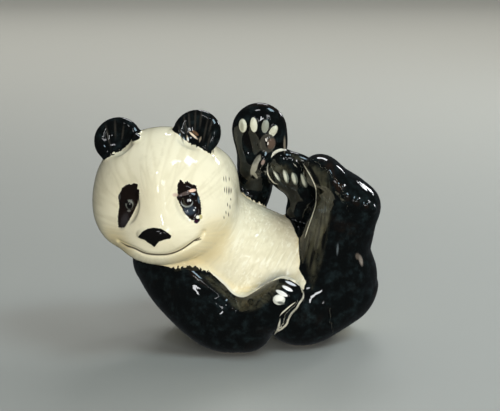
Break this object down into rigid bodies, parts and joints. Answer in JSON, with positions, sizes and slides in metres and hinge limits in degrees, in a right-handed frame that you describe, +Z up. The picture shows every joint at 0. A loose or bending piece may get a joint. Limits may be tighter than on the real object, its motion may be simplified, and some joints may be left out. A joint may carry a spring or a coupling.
{
  "type": "panda figurine",
  "caption": "Glazed ceramic figurine of a panda lying on its back, with its head turned to the front, one paw on its belly and the other paw raised to its feet.",
  "frame": {"origin": "centre of the figurine's bounding box, on the plane of its flattened underside", "axes": "+X to the viewer's right, from the head towards the rump; +Y away from the viewer; +Z up"},
  "size_m": [0.1416, 0.0874, 0.1175],
  "materials": {
    "glazed_ceramic": "clear glossy glaze over hand-painted cream and black"
  },
  "bodies": {
    "root": {"panda_figurine": "glazed_ceramic"}
  },
  "joints": []
}
